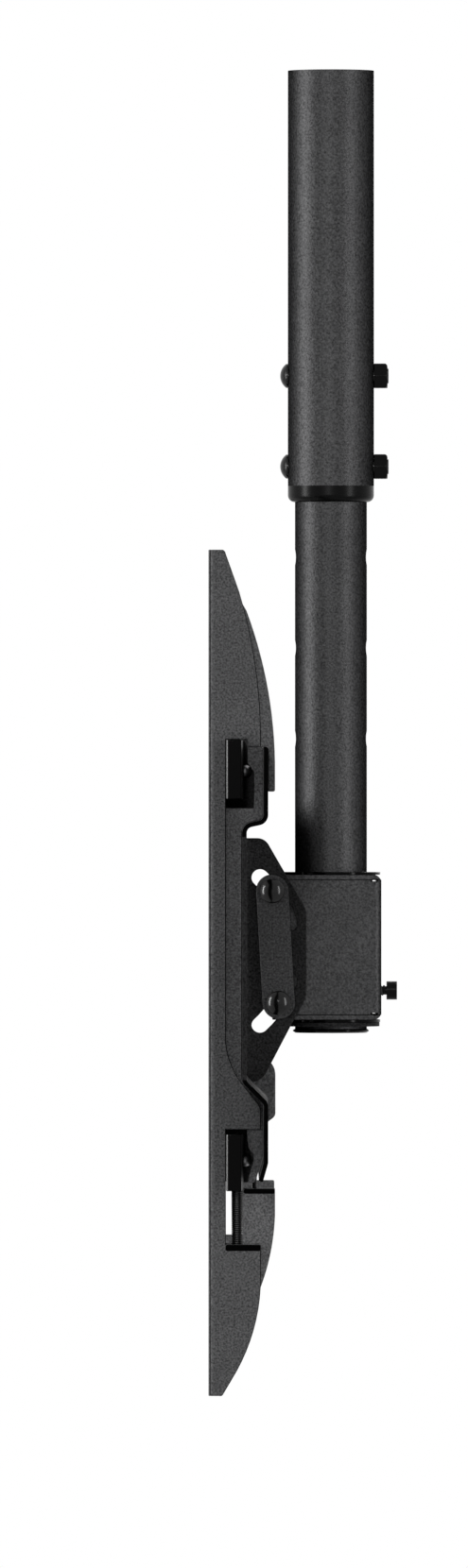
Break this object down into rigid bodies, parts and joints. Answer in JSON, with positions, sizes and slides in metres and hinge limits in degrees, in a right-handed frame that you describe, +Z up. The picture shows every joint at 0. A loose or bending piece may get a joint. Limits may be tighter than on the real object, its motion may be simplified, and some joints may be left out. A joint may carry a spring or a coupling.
{
  "type": "tv ceiling mount",
  "caption": "Black steel ceiling mount: bolted telescopic column, swivel housing, arc-slot tilt plate and hooked vertical screen arms with screw locks.",
  "frame": {"origin": "centre of the column's upper end, where the mount is held", "axes": "+Z up along the column, the screen on the -X side, Y along the cross plate"},
  "size_m": [0.0995, 0.43, 0.6979],
  "materials": {
    "column_coat": "fine textured black powder coat",
    "arm_coat": "fine textured black powder coat",
    "plate_coat": "fine textured black powder coat",
    "black_fastener": "glossy black zinc",
    "black_plastic": "glossy black moulding",
    "washer_plastic": "matt black"
  },
  "bodies": {
    "column": {"outer_tube": "column_coat", "tube_sleeve": "black_plastic", "column_bolts": "black_fastener", "column_nuts": "black_fastener"},
    "drop_tube": {"inner_tube": "column_coat", "retaining_ring": "plate_coat", "end_cap": "black_plastic"},
    "swivel": {"swivel_housing": "column_coat", "upper_bush": "black_plastic", "lower_bush": "black_plastic", "lock_weld_nut": "black_fastener", "tilt_bolts": "black_fastener", "tilt_nuts": "black_fastener", "tilt_spacers": "black_fastener", "inner_washers": "washer_plastic", "outer_washers": "washer_plastic", "link_bar_left": "plate_coat", "link_bar_right": "plate_coat"},
    "swivel_lock": {"lock_screw": "black_fastener"},
    "tilt_frame": {"tilt_plate": "plate_coat"},
    "arm_left": {"arm_left": "arm_coat", "height_screw_left": "black_fastener", "lock_rod_left": "black_fastener", "stop_pin_left": "black_fastener"},
    "height_adjuster_left": {"height_block_left": "black_plastic", "height_jaw_left": "plate_coat", "height_jaw_screw_left": "black_fastener"},
    "lower_lock_left": {"lock_block_left": "black_plastic", "lock_jaw_left": "plate_coat", "lock_jaw_screw_left": "black_fastener"},
    "arm_right": {"arm_right": "arm_coat", "height_screw_right": "black_fastener", "lock_rod_right": "black_fastener", "stop_pin_right": "black_fastener"},
    "height_adjuster_right": {"height_block_right": "black_plastic", "height_jaw_right": "plate_coat", "height_jaw_screw_right": "black_fastener"},
    "lower_lock_right": {"lock_block_right": "black_plastic", "lock_jaw_right": "plate_coat", "lock_jaw_screw_right": "black_fastener"}
  },
  "joints": [
    {"name": "column_height", "type": "slide", "parent": "column", "child": "drop_tube", "axis": [0, 0, 1], "range_m": [-0.144, 0.144]},
    {"name": "swivel_turn", "type": "hinge", "parent": "drop_tube", "child": "swivel", "pos_m": [0, 0, -0.466], "axis": [0, 0, 1], "continuous": true},
    {"name": "swivel_lock_draw", "type": "slide", "parent": "swivel", "child": "swivel_lock", "axis": [1, 0, 0], "range_m": [0, 0.006]},
    {"name": "tilt", "type": "hinge", "parent": "swivel", "child": "tilt_frame", "pos_m": [-0.073, 0, -0.466], "axis": [0, -1, 0], "range_deg": [-10, 15]},
    {"name": "arm_left_slide", "type": "slide", "parent": "tilt_frame", "child": "arm_left", "axis": [0, -1, 0], "range_m": [-0.05, 0.1]},
    {"name": "height_adjuster_left_slide", "type": "slide", "parent": "arm_left", "child": "height_adjuster_left", "axis": [0, 0, 1], "range_m": [-0.004, 0]},
    {"name": "lower_lock_left_slide", "type": "slide", "parent": "arm_left", "child": "lower_lock_left", "axis": [0, 0, 1], "range_m": [-0.027, 0]},
    {"name": "arm_right_slide", "type": "slide", "parent": "tilt_frame", "child": "arm_right", "axis": [0, 1, 0], "range_m": [-0.05, 0.1]},
    {"name": "height_adjuster_right_slide", "type": "slide", "parent": "arm_right", "child": "height_adjuster_right", "axis": [0, 0, 1], "range_m": [-0.004, 0]},
    {"name": "lower_lock_right_slide", "type": "slide", "parent": "arm_right", "child": "lower_lock_right", "axis": [0, 0, 1], "range_m": [-0.027, 0]}
  ]
}
